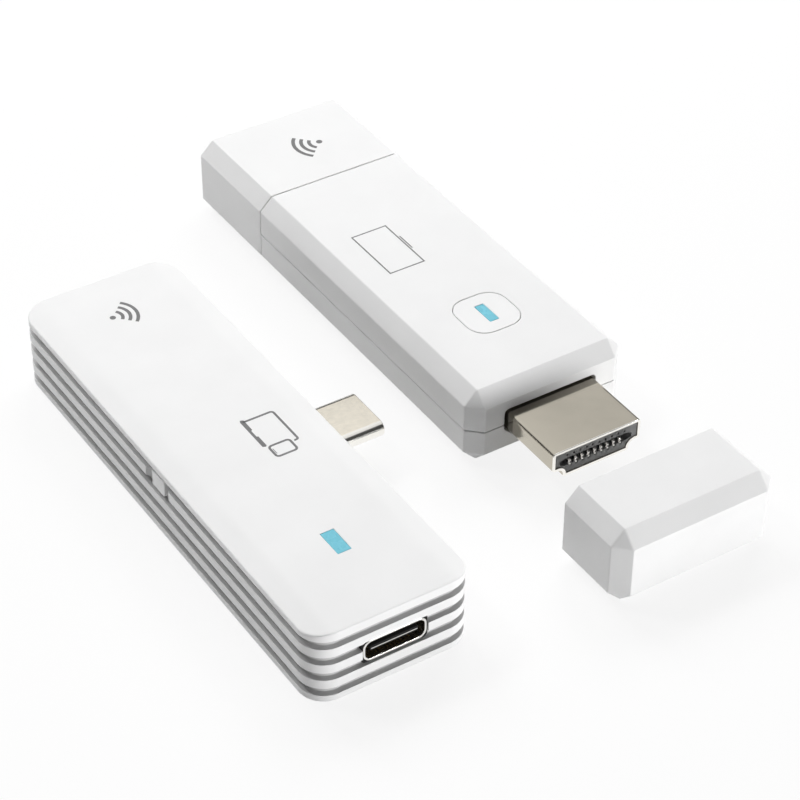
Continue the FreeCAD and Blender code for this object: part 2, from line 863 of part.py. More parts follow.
def transmitter_light_window():
    """Light window that stands in the top plate and ends above the lamp."""
    low = board_top + lamp_height + light_air_gap
    return block(0, window_y, low, 2 * window_half_width, 2 * window_half_length, plate_top - low)


def transmitter_board():
    """Circuit board with notches for the port and the side plug."""
    outline = slab(transmitter_board_half_width, transmitter_board_half_length,
                   transmitter_cavity_corner, board_height, board_top)
    port_notch = box(-socket_width / 2 - fit_gap, socket_width / 2 + fit_gap, -transmitter_half_length,
                     port_mouth + socket_depth + fit_gap, board_height, board_top)
    half_plug = side_plug_width / 2 + fit_gap
    plug_notch = box(side_plug_back - fit_gap, transmitter_half_width, side_plug_from_centre - half_plug,
                     side_plug_from_centre + half_plug, board_height, board_top)
    return pegged_board(outline.cut(port_notch).cut(plug_notch), transmitter_posts)


def transmitter_encoder_chip():
    """Video encoder."""
    return block(0, encoder_y, board_top, encoder_size, encoder_size, encoder_height)


def transmitter_heat_spreader():
    """Metal plate under the top plate."""
    return block(0, encoder_y, plate_bottom - spreader_thickness, 2 * encoder_spreader_half_width,
                 2 * encoder_spreader_half_length, spreader_thickness)


def transmitter_thermal_pad():
    """Soft pad between the encoder and the spreader."""
    low = board_top + encoder_height
    height = plate_bottom - spreader_thickness - low
    return block(0, encoder_y, low, encoder_size, encoder_size, height)


def transmitter_radio_can():
    """Metal can over the radio."""
    return shield_can(0, transmitter_can_y, radio_can_width, radio_can_length)


def transmitter_radio_chip():
    """Radio chip under its can."""
    return block(0, transmitter_can_y, board_top, radio_chip_size, radio_chip_size, radio_chip_height)


def transmitter_memory_chip():
    """Memory on the underside of the board."""
    return block(0, encoder_y, board_height - memory_chip_height, memory_chip_width,
                 memory_chip_length, memory_chip_height)


def transmitter_crystal():
    """Clock crystal in a small metal can."""
    y = transmitter_can_y - radio_can_length / 2 - crystal_from_chip - crystal_length / 2
    return block(crystal_width, y, board_top, crystal_width, crystal_length, crystal_height)


def transmitter_power_coils():
    """Two coils of the power supply beside the charge port."""
    y = port_mouth + socket_depth + coil_size
    coils = [block(x, y, board_height - coil_height, coil_size, coil_size, coil_height)
             for x in row_of(2, 1.5 * coil_size)]
    return Part.makeCompound(coils)


def transmitter_antennas():
    """Two ceramic antennas at the far end of the board."""
    x = transmitter_board_half_width / 2
    return Part.makeCompound([block(side * x, transmitter_antenna_y, board_top,
                                    antenna_length, antenna_width, antenna_height) for side in (-1, 1)])


def pair_button():
    """Pair button: a short bar through the side wall with a flange behind it."""
    outer = pair_set_back - transmitter_half_width
    flange_outer = -transmitter_cavity_half_width + button_play
    flange_inner = flange_outer + pair_flange_thickness
    bar_corners = rectangle(pair_half_length, pair_half_height, side_plug_from_centre, pair_height)
    finger = even_prism(bar_corners, pair_corner, "x", outer, flange_inner)
    flange_corners = rectangle(pair_half_length + pair_flange, pair_half_height + pair_flange,
                               side_plug_from_centre, pair_height)
    flange = even_prism(flange_corners, pair_corner + pair_flange, "x", flange_outer, flange_inner)
    return joined([finger, flange])


def pair_plunger():
    """Plunger of the pair switch, lying along X behind the button."""
    length = plunger_rise + pair_plunger_depth
    start = FreeCAD.Vector(pair_flange_inner, side_plug_from_centre, pair_height)
    return Part.makeCylinder(pair_plunger_radius, length, start, FreeCAD.Vector(1, 0, 0))


def pair_switch():
    """Side-pushed switch on the board, with the bore for its plunger."""
    body = box(pair_switch_face, pair_switch_face + pair_switch_depth,
               side_plug_from_centre - pair_switch_width / 2, side_plug_from_centre + pair_switch_width / 2,
               board_top, pair_height + pair_switch_rise)
    start = FreeCAD.Vector(pair_switch_face - seam, side_plug_from_centre, pair_height)
    bore = Part.makeCylinder(pair_plunger_radius + plunger_clearance, pair_bore_depth + seam, start,
                             FreeCAD.Vector(1, 0, 0))
    return body.cut(bore)


def side_plug_prism(sheet_in, x_low, x_high):
    """Stretch of the side plug's round-ended section, with the sheet taken off."""
    corners = rectangle(side_plug_width / 2 - sheet_in, side_plug_height / 2 - sheet_in,
                        side_plug_from_centre, board_middle)
    corner = side_plug_height / 2 - side_plug_end_flat - sheet_in
    return even_prism(corners, corner, "x", x_low, x_high)


def side_plug_shell():
    """Drawn metal shell of the side plug."""
    return side_plug_prism(0, side_plug_back, side_plug_tip).cut(
        side_plug_prism(side_plug_sheet, side_plug_back, side_plug_tip))


def side_plug_slot():
    """Space in the side plug that a socket's tongue enters."""
    half_width = side_plug_slot_width / 2
    half_height = side_plug_slot_height / 2
    return box(side_plug_tip - side_plug_slot_depth, side_plug_tip,
               side_plug_from_centre - half_width, side_plug_from_centre + half_width,
               board_middle - half_height, board_middle + half_height)


def side_plug_insert():
    """Moulded insert of the side plug."""
    body = side_plug_prism(side_plug_sheet, side_plug_back, side_plug_tip - plug_set_back)
    return body.cut(side_plug_slot())


def side_plug_contacts():
    """Two rows of fine contacts inside the side plug."""
    strips = []
    half = side_plug_slot_height / 2
    x_low = side_plug_tip - side_plug_slot_depth
    x_high = side_plug_tip - plug_set_back - fine_set_back
    for offset in row_of(fine_contacts, fine_pitch):
        y = side_plug_from_centre + offset
        for low in (board_middle - half, board_middle + half - fine_thickness):
            strips.append(box(x_low, x_high, y - fine_width / 2, y + fine_width / 2,
                              low, low + fine_thickness))
    return Part.makeCompound(strips)


# Places of both units: the origin is the middle of everything, on the surface it lies on

layout_left = -transmitter_from_receiver - transmitter_half_width
layout_right = bar_half_width
layout_front = min(-cap_gap - cap_depth, transmitter_centre_y - transmitter_half_length)
layout_back = max(receiver_length, transmitter_centre_y + transmitter_half_length)
origin_x = (layout_left + layout_right) / 2
origin_y = (layout_front + layout_back) / 2
receiver_place = FreeCAD.Vector(-origin_x, -origin_y, 0)
transmitter_place = FreeCAD.Vector(-transmitter_from_receiver - origin_x,
                                   transmitter_centre_y - origin_y, 0)

receiver_pieces = {
    "receiver_top_shell": receiver_top_shell(),
    "receiver_bottom_shell": receiver_bottom_shell(),
    "receiver_rear_cover": receiver_rear_cover(),
    "receiver_button": receiver_button(),
    "receiver_light_window": receiver_light_window(),
    "receiver_switch": receiver_switch(),
    "receiver_switch_plunger": receiver_switch_plunger(),
    "receiver_lamp": lamp(0, button_from_front),
    "receiver_board": receiver_board(),
    "receiver_video_chip": receiver_video_chip(),
    "receiver_thermal_pad": receiver_thermal_pad(),
    "receiver_heat_spreader": receiver_heat_spreader(),
    "receiver_radio_can": receiver_radio_can(),
    "receiver_radio_chip": receiver_radio_chip(),
    "receiver_memory_chip": receiver_memory_chip(),
    "receiver_crystal": receiver_crystal(),
    "receiver_power_coils": receiver_power_coils(),
    "receiver_antennas": receiver_antennas(),
    "display_plug_shell": plug_shell(),
    "display_plug_insulator": plug_insulator(),
    "display_plug_contacts": plug_contacts(),
    "power_inlet_shell": socket_shell(inlet_mouth, -1, board_middle),
    "power_inlet_tongue": socket_tongue(inlet_mouth, -1, board_middle),
    "power_inlet_contacts": socket_contacts(inlet_mouth, -1, board_middle),
    "plug_cap": plug_cap(),
}

transmitter_pieces = {
    "transmitter_housing": transmitter_housing(),
    "transmitter_top_plate": transmitter_top_plate(),
    "transmitter_light_window": transmitter_light_window(),
    "transmitter_lamp": lamp(0, window_y),
    "transmitter_board": transmitter_board(),
    "transmitter_encoder_chip": transmitter_encoder_chip(),
    "transmitter_thermal_pad": transmitter_thermal_pad(),
    "transmitter_heat_spreader": transmitter_heat_spreader(),
    "transmitter_radio_can": transmitter_radio_can(),
    "transmitter_radio_chip": transmitter_radio_chip(),
    "transmitter_memory_chip": transmitter_memory_chip(),
    "transmitter_crystal": transmitter_crystal(),
    "transmitter_power_coils": transmitter_power_coils(),
    "transmitter_antennas": transmitter_antennas(),
    "pair_button": pair_button(),
    "pair_plunger": pair_plunger(),
    "pair_switch": pair_switch(),
    "side_plug_shell": side_plug_shell(),
    "side_plug_insert": side_plug_insert(),
    "side_plug_contacts": side_plug_contacts(),
    "charge_port_shell": socket_shell(port_mouth, 1, board_middle),
    "charge_port_tongue": socket_tongue(port_mouth, 1, board_middle),
    "charge_port_contacts": socket_contacts(port_mouth, 1, board_middle),
}

os.makedirs("parts", exist_ok=True)
for pieces, place in ((receiver_pieces, receiver_place), (transmitter_pieces, transmitter_place)):
    for name, shape in pieces.items():
        shape.translate(place)
        shape.exportStep("parts/" + name + ".step")
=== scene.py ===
import math

import bmesh
import bpy
from mathutils import Matrix, Vector


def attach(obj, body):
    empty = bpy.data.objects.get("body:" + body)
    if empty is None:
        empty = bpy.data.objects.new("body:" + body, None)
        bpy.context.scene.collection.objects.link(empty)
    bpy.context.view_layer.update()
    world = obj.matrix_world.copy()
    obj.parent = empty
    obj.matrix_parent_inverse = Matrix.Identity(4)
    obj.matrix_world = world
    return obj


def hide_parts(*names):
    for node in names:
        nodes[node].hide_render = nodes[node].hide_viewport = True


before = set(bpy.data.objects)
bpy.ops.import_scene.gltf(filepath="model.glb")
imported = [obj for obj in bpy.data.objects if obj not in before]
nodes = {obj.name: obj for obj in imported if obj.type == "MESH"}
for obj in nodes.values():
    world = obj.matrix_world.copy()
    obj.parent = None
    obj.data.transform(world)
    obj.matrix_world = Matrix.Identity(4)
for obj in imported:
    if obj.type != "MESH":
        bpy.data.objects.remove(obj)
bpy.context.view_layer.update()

# Sizes are in millimetres, round each unit's own origin, as in the part's source
RECEIVER = Vector((19.925, -20.7, 0.0))
TRANSMITTER = Vector((-20.825, -8.8, 0.0))
BOARD_MIDDLE = 5.6
MIDDLE = Vector((0.0, 0.0, BOARD_MIDDLE))
RECEIVER_TOP = 11.54

# Transmitter's housing and top plate
HALF_WIDTH, HALF_LENGTH, CORNER = 11.45, 38.0, 3.6
HOUSING_TOP, HOUSING_FLOOR, HOUSING_WALL = 10.05, 1.2, 1.7
RIB_PITCH, GROOVE_COUNT, GROOVE_HEIGHT, GROOVE_DEPTH = 2.5, 4, 1.15, 0.88
PLATE_TOP, PLATE_BOTTOM, SKIRT_BOTTOM = 11.02, 10.17, 9.72
MARGIN_WIDTH, MARGIN_FALL, MARGIN_BLEND = 2.7, 0.5, 0.55
WINDOW_Y, WINDOW_HALF_WIDTH, WINDOW_HALF_LENGTH = -24.5, 0.98, 2.13
PAIR_Z, PAIR_HALF_HEIGHT, PAIR_GAP = 7.85, 1.2, 0.12
POST_PLACES = [(side * 7.45, y) for side in (-1, 1) for y in (-18.1, 32.02)]
POST_RADIUS, POST_TOP, PEG_RADIUS, PEG_TOP = 1.3, 5.2, 0.5, 5.9

# Display plug: a wide upper part, and a narrower foot below the step
PLUG_HALF_WIDTH, PLUG_HALF_HEIGHT, PLUG_FOOT, PLUG_STEP = 6.95, 2.225, 5.2, -0.9
PLUG_ROOT, PLUG_TIP, PLUG_SHEET, PLUG_INSERT_TIP = 7.0, -10.4, 0.43, -10.2
SPRING_PLACES = (-2.6, 2.6)
LOWER_CONTACTS = [index - 4.0 for index in range(9)]
UPPER_CONTACTS = [index - 4.5 for index in range(10)]
CONTACT_WIDTH, CONTACT_THICKNESS = 0.4, 0.12

# Side plug, charge port and power inlet
SIDE_PLUG_Y, SIDE_PLUG_ROOT, SIDE_PLUG_TIP = -0.4, 5.95, 19.75
SIDE_PLUG_HALF_WIDTH, SIDE_PLUG_HALF_HEIGHT, SIDE_PLUG_CORNER = 4.125, 1.2, 1.15
PORT_HALF_WIDTH, PORT_HALF_HEIGHT, PORT_CORNER = 4.47, 1.63, 1.2
DRAWN_SHEET = 0.3
TONGUE_TIP, TONGUE_ROOT, TONGUE_FOOT = 0.4, 7.45, 6.6

# Ink stands a little proud of the surface and reaches into it
INK_TOP, INK_FOOT = 0.006, -0.03

# Camera: angles in degrees, then its distances from the receiver's origin along its own axes
CAMERA_TURN, CAMERA_RISE, CAMERA_ROLL = -33.006, 38.765, 0.483
CAMERA_RIGHT, CAMERA_UP, CAMERA_BACK = -19.676, 5.284, 343.069
CAMERA_LENS, CAMERA_SENSOR = 116.32, 36.0

# Floor and sky: strength of the sky, share of the floor that looks white, the floor's paleness as it is seen
# and as it throws light back, and the (height, grey) stops of the sky that metal mirrors, leaning along Y
AMBIENT, FLOOR_WHITE, FLOOR_SEEN, FLOOR_BOUNCE = 0.01, 0.86, 0.9, 0.6
FLOOR_REACH, FLOOR_LEVEL = 3.0, -0.00002
MIRRORED_SKY = ((0.0, 0.05), (0.6, 0.07), (0.65, 0.8), (0.79, 0.84), (0.84, 0.84), (0.89, 1.0))
SKY_LEAN = 0.25

# Lamps: name, direction, width and height in metres, power, whether metal mirrors it
LAMPS = (
    ("lamp_back", (0.0, 0.7, 0.7), 0.35, 0.5, 5.5, False),
    ("lamp_back_right", (0.5, 0.5, 0.7), 0.5, 0.5, 5.6, False),
    ("lamp_back_left", (-0.4, 0.5, 0.85), 0.2, 0.2, 2.9, False),
    ("lamp_front_left", (-0.4, -0.9, 0.06), 0.5, 0.1, 0.6, True),
    ("lamp_front_right", (0.45, -0.9, 0.06), 0.5, 0.1, 8.5, True),
    ("lamp_left", (-1.0, 0.0, 0.06), 0.5, 0.1, 1.1, True),
)


# Materials

class Nodes:
    """A material's node tree under construction."""

    def __init__(self, name):
        self.material = bpy.data.materials.new(name)
        self.material.use_nodes = True
        self.tree = self.material.node_tree
        self.tree.nodes.clear()
        self.output = self.add("ShaderNodeOutputMaterial")
        self.shader = self.add("ShaderNodeBsdfPrincipled")
        self.link(self.shader.outputs["BSDF"], self.output.inputs["Surface"])
        self.place = self.add("ShaderNodeTexCoord").outputs["Object"]

    def add(self, kind, **settings):
        node = self.tree.nodes.new(kind)
        for key, value in settings.items():
            setattr(node, key, value)
        return node

    def link(self, start, end):
        self.tree.links.new(start, end)

    def feed(self, value, socket):
        """Joins a value to one of the shader's sockets."""
        self.link(value, self.shader.inputs[socket])

    def noise(self, size, detail=2.0, roughness=0.5):
        """Noise whose features are about that many millimetres across, or that many along each axis."""
        sizes = size if isinstance(size, tuple) else (size,) * 3
        mapping = self.add("ShaderNodeMapping")
        mapping.inputs["Scale"].default_value = tuple(1000 / length for length in sizes)
        self.link(self.place, mapping.inputs["Vector"])
        node = self.add("ShaderNodeTexNoise")
        node.inputs["Scale"].default_value = 1.0
        node.inputs["Detail"].default_value = detail
        node.inputs["Roughness"].default_value = roughness
        self.link(mapping.outputs["Vector"], node.inputs["Vector"])
        return node.outputs["Fac"]

    def spread(self, value, low, high, start=0.3, end=0.7):
        """Value from start to end turned into low to high."""
        node = self.add("ShaderNodeMapRange")
        node.inputs["From Min"].default_value = start
        node.inputs["From Max"].default_value = end
        node.inputs["To Min"].default_value = low
        node.inputs["To Max"].default_value = high
        self.link(value, node.inputs["Value"])
        return node.outputs["Result"]

    def blend(self, factor, first, second):
        node = self.add("ShaderNodeMix", data_type="RGBA")
        self.link(factor, node.inputs[0])
        for socket, colour in ((node.inputs[6], first), (node.inputs[7], second)):
            if isinstance(colour, tuple):
                socket.default_value = (*colour, 1.0)
            else:
                self.link(colour, socket)
        return node.outputs[2]

    def clouded(self, pattern, colour, share):
        """Colour that a pattern darkens down to a share of itself."""
        return self.blend(self.spread(pattern, 0.0, 1.0), shaded(colour, share), colour)

    def bump(self, height, strength, depth, normal=None):
        """Relief of a pattern. The depth is in millimetres."""
        node = self.add("ShaderNodeBump")
        node.inputs["Strength"].default_value = strength
        node.inputs["Distance"].default_value = depth / 1000
        self.link(height, node.inputs["Height"])
        if normal is not None:
            self.link(normal, node.inputs["Normal"])
        return node.outputs["Normal"]


def shaded(colour, share):
    return tuple(channel * share for channel in colour)


def moulded(name, colour, rough=0.42, grain=0.09, tint=0.03, level=0.42):
    """Moulded plastic: fine spark-eroded grain, slow changes of gloss, faint handling marks."""
    made = Nodes(name)
    clouds = made.noise(9.0, detail=3.0)
    made.feed(made.clouded(clouds, colour, 1 - tint), "Base Color")
    smears = made.noise((6.0, 14.0, 6.0), detail=4.0, roughness=0.65)
    made.feed(made.spread(smears, rough - 0.06, rough + 0.08), "Roughness")
    waves = made.bump(made.noise(1.6), strength=0.10, depth=0.02)
    made.feed(made.bump(made.noise(grain), strength=0.16, depth=0.012, normal=waves), "Normal")
    made.shader.inputs["Specular IOR Level"].default_value = level
    return made.material


def metal(name, colour, rough=0.2, along=(0.4, 6.0, 0.4), clouds=5.0, painted_shade_band=None):
    """Plated sheet metal: drawing marks along one direction, fine pits and uneven gloss.

    A shade band is a pair of places along Y, in millimetres, between which the plating's colour fades into a
    painted shade that goes on beyond the second.
    """
    made = Nodes(name)
    tone = made.clouded(made.noise(clouds, detail=3.0), colour, 0.92)
    # Painted shade: past the band the base colour darkens to 0.42 of itself
    if painted_shade_band:
        split = made.add("ShaderNodeSeparateXYZ")
        made.link(made.place, split.inputs[0])
        share = made.spread(split.outputs["Y"], 0.0, 1.0, painted_shade_band[0] / 1000, painted_shade_band[1] / 1000)
        tone = made.blend(share, tone, shaded(colour, 0.42))
    made.feed(tone, "Base Color")
    marks = made.noise(tuple(size * 0.12 for size in along), detail=3.0, roughness=0.6)
    made.feed(made.spread(marks, rough - 0.05, rough + 0.08), "Roughness")
    pits = made.bump(made.noise(0.35), strength=0.06, depth=0.01)
    made.feed(made.bump(marks, strength=0.05, depth=0.006, normal=pits), "Normal")
    made.shader.inputs["Metallic"].default_value = 1.0
    return made.material


def lens(name, colour):
    """Light guide: tinted plastic with fine ribs that spread the light."""
    made = Nodes(name)
    ribs = made.noise((0.25, 1.4, 1.4), detail=1.0)
    made.feed(made.clouded(ribs, colour, 0.94), "Base Color")
    made.feed(made.spread(made.noise(1.2), 0.22, 0.34), "Roughness")
    made.feed(made.bump(ribs, strength=0.12, depth=0.02), "Normal")
    return made.material


def solder_mask(name, bare, traced):
    """Lacquered circuit board: darker between its traces, with a slight weave."""
    made = Nodes(name)
    traces = made.noise((3.0, 1.2, 1.0))
    made.feed(made.blend(made.spread(traces, 0.0, 1.0, 0.47, 0.53), bare, traced), "Base Color")
    made.feed(made.spread(traces, 0.28, 0.4), "Roughness")
    weave = made.noise((0.4, 0.4, 1.0), detail=1.0)
    made.feed(made.bump(weave, strength=0.2, depth=0.02), "Normal")
    return made.material


# Painted shade on the display plug's shell, within about 1.5 mm of the receiver's front
PAINTED_SHADE_BAND = (RECEIVER.y - 1.5, RECEIVER.y - 1.3)
ALONG_X, FINE_MARKS = (6.0, 0.4, 0.4), (0.3, 2.0, 0.3)

shell_white = moulded("shell_white", (0.86, 0.86, 0.86))
button_white = moulded("button_white", (0.87, 0.87, 0.87), rough=0.36)
plate_white = moulded("plate_white", (0.87, 0.87, 0.87), rough=0.38, grain=0.12)
housing_white = moulded("housing_white", (0.86, 0.86, 0.86), rough=0.4)
# Painted shade: a darker plastic for the faces inside the transmitter's grooves, standing in for the shade
# in those recesses
groove_painted_shade = moulded("groove_painted_shade", (0.6, 0.6, 0.6), rough=0.6, grain=0.2, tint=0.06)
light_cyan = lens("light_cyan", (0.16, 0.55, 0.68))
lamp_white = lens("lamp_white", (0.85, 0.85, 0.80))
plug_nickel = metal("plug_nickel", (0.53, 0.495, 0.42), rough=0.15, painted_shade_band=PAINTED_SHADE_BAND)
# Painted highlight: a paler, whiter plating for the display plug's rim and the side plug's round sides
plug_painted_highlight = metal("plug_painted_highlight", (0.95, 0.93, 0.88), rough=0.16)
side_plug_nickel = metal("side_plug_nickel", (0.97, 0.91, 0.79), rough=0.13, along=ALONG_X, clouds=0.8)
socket_steel = metal("socket_steel", (0.80, 0.79, 0.76), rough=0.18)
contact_bright = metal("contact_bright", (0.97, 0.95, 0.90), rough=0.16, along=FINE_MARKS)
contact_gold = metal("contact_gold", (0.83, 0.62, 0.28), rough=0.22, along=FINE_MARKS)
can_tin = metal("can_tin", (0.66, 0.66, 0.64), rough=0.3)
aluminium = metal("spreader_aluminium", (0.72, 0.73, 0.74), rough=0.32, along=ALONG_X)
insert_grey = moulded("insert_grey", (0.31, 0.31, 0.305), rough=0.5, grain=0.07, tint=0.15)
insert_black = moulded("insert_black", (0.012, 0.012, 0.011), rough=0.4, grain=0.07, tint=0.2)
port_black = moulded("port_black", (0.008, 0.008, 0.008), rough=0.65, grain=0.07, tint=0.2, level=0.2)
chip_black = moulded("chip_black", (0.02, 0.02, 0.022), rough=0.45, grain=0.06, tint=0.2)
switch_black = moulded("switch_black", (0.025, 0.025, 0.025), rough=0.4, tint=0.2)
plunger_black = moulded("plunger_black", (0.03, 0.03, 0.03), rough=0.35, tint=0.2)
pad_grey = moulded("pad_grey", (0.32, 0.34, 0.36), rough=0.8, grain=0.2, tint=0.1)
ceramic = moulded("antenna_ceramic", (0.55, 0.53, 0.47), rough=0.5, tint=0.08)
print_grey = moulded("print_grey", (0.20, 0.20, 0.20), rough=0.5, grain=0.06, tint=0.12, level=0.3)
board_green = solder_mask("board_green", (0.012, 0.09, 0.035), (0.02, 0.15, 0.06))

# Inner parts that both units have, by the ends of their names
electronics = {
    "board": board_green, "thermal_pad": pad_grey, "heat_spreader": aluminium, "radio_can": can_tin,
    "radio_chip": chip_black, "memory_chip": chip_black, "crystal": can_tin, "power_coils": chip_black,
    "antennas": ceramic, "lamp": lamp_white, "light_window": light_cyan,
}
finishes = {
    "receiver_top_shell": shell_white, "receiver_bottom_shell": shell_white,
    "receiver_rear_cover": shell_white, "plug_cap": shell_white, "receiver_button": button_white,
    "receiver_switch": switch_black, "receiver_switch_plunger": plunger_black,
    "receiver_video_chip": chip_black, "display_plug_shell": plug_nickel,
    "display_plug_insulator": insert_grey, "display_plug_contacts": contact_bright,
    "power_inlet_shell": socket_steel, "power_inlet_tongue": insert_black,
    "power_inlet_contacts": contact_gold,
    "transmitter_housing": housing_white, "transmitter_top_plate": plate_white,
    "transmitter_encoder_chip": chip_black, "pair_button": button_white, "pair_plunger": plunger_black,
    "pair_switch": switch_black, "side_plug_shell": side_plug_nickel, "side_plug_insert": insert_black,
    "side_plug_contacts": contact_gold, "charge_port_shell": socket_steel,
    "charge_port_tongue": insert_black, "charge_port_contacts": contact_gold,
}
for part, material in electronics.items():
    finishes["receiver_" + part] = material
    finishes["transmitter_" + part] = material
for name, material in finishes.items():
    for place in nodes[name].material_slots:
        place.material = material


# Softened edges on the carried-over solids

def shade_by_area(piece, weight=50):
    """Lets the large faces set the shading of the small ones beside them."""
    shade = piece.modifiers.new("shade", "WEIGHTED_NORMAL")
    shade.weight = weight
    shade.keep_sharp = True


def soften(name, width):
    """Rounds the edges of a solid. The width is in millimetres."""
    piece = nodes[name]
    weld = piece.modifiers.new("weld", "WELD")
    weld.merge_threshold = 0.000002
    rounding = piece.modifiers.new("rounding", "BEVEL")
    rounding.width = width / 1000
    rounding.segments = 3
    rounding.limit_method = "ANGLE"
    rounding.angle_limit = math.radians(20.0)
    rounding.use_clamp_overlap = False
    rounding.miter_outer = "MITER_ARC"
    rounding.harden_normals = False
    shade_by_area(piece, weight=60)


SOFT_EDGES = {
    "receiver_top_shell": 0.14, "receiver_bottom_shell": 0.14, "receiver_rear_cover": 0.14,
    "plug_cap": 0.16, "receiver_button": 0.1, "receiver_light_window": 0.06,
    "transmitter_light_window": 0.06, "pair_button": 0.12,
}
for name, width in SOFT_EDGES.items():
    soften(name, width)


# Mesh helpers

def piece_from(name, mesh, material, body, smooth=35.0):
    """Object for a finished mesh in metres, shaded smooth below the angle, riding on its body."""
    bmesh.ops.recalc_face_normals(mesh, faces=mesh.faces)
    for face in mesh.faces:
        face.smooth = True
    for edge in mesh.edges:
        edge.smooth = len(edge.link_faces) == 2 and edge.calc_face_angle() < math.radians(smooth)
    data = bpy.data.meshes.new(name)
    mesh.to_mesh(data)
    mesh.free()
    data.materials.append(material)
    piece = bpy.data.objects.new(name, data)
    bpy.context.scene.collection.objects.link(piece)
    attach(piece, body)
    return piece


def standing_for(piece, node):
    """The piece is shown in the node's place, and the node is hidden. The piece argument is not used."""
    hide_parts(node)


def refinished(piece, material, chosen):
    """Gives a second material to the faces that are chosen by their centres."""
    piece.data.materials.append(material)
    for face in piece.data.polygons:
        if chosen(face.center):
            face.material_index = 1


def carved(solid, cutters):
    """Solid with the cutters taken away, as a new mesh. The meshes handed in are used up."""
    holders = []
    for number, mesh in enumerate([solid] + cutters):
        bmesh.ops.recalc_face_normals(mesh, faces=mesh.faces)
        data = bpy.data.meshes.new("carving")
        mesh.to_mesh(data)
        mesh.free()
        holder = bpy.data.objects.new("carving_%d" % number, data)
        bpy.context.scene.collection.objects.link(holder)
        holders.append(holder)
    for cutter in holders[1:]:
        cut = holders[0].modifiers.new("cut", "BOOLEAN")
        cut.operation = "DIFFERENCE"
        cut.solver = "EXACT"
        cut.object = cutter
    result = bmesh.new()
    result.from_object(holders[0], bpy.context.evaluated_depsgraph_get())
    for holder in holders:
        data = holder.data
        bpy.data.objects.remove(holder)
        bpy.data.meshes.remove(data)
    bmesh.ops.remove_doubles(result, verts=result.verts, dist=0.0000005)
    return result


def rounded(corners, radii, steps=6):
    """Closed outline with rounded corners, each turned into the same count of points."""
    points = []
    count = len(corners)
    for index in range(count):
        here = Vector(corners[index])
        back = (Vector(corners[index - 1]) - here).normalized()
        ahead = (Vector(corners[(index + 1) % count]) - here).normalized()
        radius = max(radii[index], 0.0001)
        half = back.angle(ahead) / 2
        centre = here + (back + ahead).normalized() * (radius / math.sin(half))
        start = here + back * (radius / math.tan(half)) - centre
        end = here + ahead * (radius / math.tan(half)) - centre
        sweep = start.angle(end)
        for step in range(steps + 1):
            share = step / steps
            weight_start = math.sin((1 - share) * sweep) / math.sin(sweep)
            weight_end = math.sin(share * sweep) / math.sin(sweep)
            points.append(centre + start * weight_start + end * weight_end)
    return points


def rectangle(half_u, half_v, centre_u=0.0, centre_v=0.0):
    return [(centre_u - half_u, centre_v - half_v), (centre_u + half_u, centre_v - half_v),
            (centre_u + half_u, centre_v + half_v), (centre_u - half_u, centre_v + half_v)]


def round_rectangle(half_u, half_v, radius, centre_u=0.0, centre_v=0.0, steps=10):
    return rounded(rectangle(half_u, half_v, centre_u, centre_v), [radius] * 4, steps)


def lifted(points, axis, level, place):
    """Outline points put into space and into metres: (y, z) along X, (x, z) along Y, (x, y) along Z."""
    spots = []
    for u, v in points:
        spot = {"x": (level, u, v), "y": (u, level, v), "z": (u, v, level)}[axis]
        spots.append((Vector(spot) + place) / 1000)
    return spots


def loft(mesh, rings, ends=True):
    """Skin over rings with equal counts of points. The rings go round, and the ends are filled."""
    rows = [[mesh.verts.new(point) for point in ring] for ring in rings]
    count = len(rows[0])
    for first, second in zip(rows, rows[1:]):
        for index in range(count):
            following = (index + 1) % count
            mesh.faces.new((first[index], first[following], second[following], second[index]))
    if ends:
        mesh.faces.new(rows[0])
        mesh.faces.new(rows[-1])
    return rows


def bored(mesh, rings):
    """Skin over rings that come back to the first one, such as a tube with a wall."""
    rows = loft(mesh, rings, ends=False)
    for index in range(len(rows[0])):
        following = (index + 1) % len(rows[0])
        mesh.faces.new((rows[-1][index], rows[-1][following], rows[0][following], rows[0][index]))


def prism(outline, axis, low, high, place):
    mesh = bmesh.new()
    loft(mesh, [lifted(outline, axis, low, place), lifted(outline, axis, high, place)])
    return mesh


def quarter(steps):
    """Pairs (run, rise) from 0 to 1 along a quarter of a circle that starts upright."""
    turns = [math.pi / 2 * step / steps for step in range(steps + 1)]
    return [(1 - math.cos(turn), math.sin(turn)) for turn in turns]


def sheet_tube(outline, axis, root, tip, sheet, place, outer=0.135, inner=0.135):
    """Metal tube of sheet. Its mouth is rounded by one radius outside and another inside.

    The outline is a function of its inset.
    """
    way = 1 if tip > root else -1
    rings = [(0.0, root)]
    rings += [(outer * run, tip - way * outer * (1 - rise)) for run, rise in quarter(5)]
    rings += [(sheet - inner * run, tip - way * inner * (1 - rise)) for run, rise in reversed(quarter(4))]
    rings.append((sheet, root))
    mesh = bmesh.new()
    bored(mesh, [lifted(outline(inset), axis, level, place) for inset, level in rings])
    return mesh


def plug_body(outline, axis, root, tip, inset, edge, place):
    """Solid insert inside a tube, with a softened edge at its tip."""
    way = 1 if tip > root else -1
    rings = [(inset, root)]
    rings += [(inset + edge * run, tip - way * edge * (1 - rise)) for run, rise in quarter(3)]
    mesh = bmesh.new()
    loft(mesh, [lifted(outline(margin), axis, level, place) for margin, level in rings])
    return mesh


def sprung_strip(mesh, path, x, width, thickness, place):
    """Flat strip that follows a path of (y, z) points, with rounded long edges."""
    rings = []
    for index, (y, z) in enumerate(path):
        before = Vector(path[max(index - 1, 0)])
        after = Vector(path[min(index + 1, len(path) - 1)])
        along = (after - before).normalized()
        across = Vector((-along[1], along[0]))
        ring = []
        for u, v in round_rectangle(width / 2, thickness / 2, thickness * 0.4, 0, 0, 2):
            spot = Vector((x + u, y + across[0] * v, z + across[1] * v))
            ring.append((spot + place) / 1000)
        rings.append(ring)
    loft(mesh, rings)


# Display plug: folded shell, springs in its underside, grey insert with a slot, sprung contacts

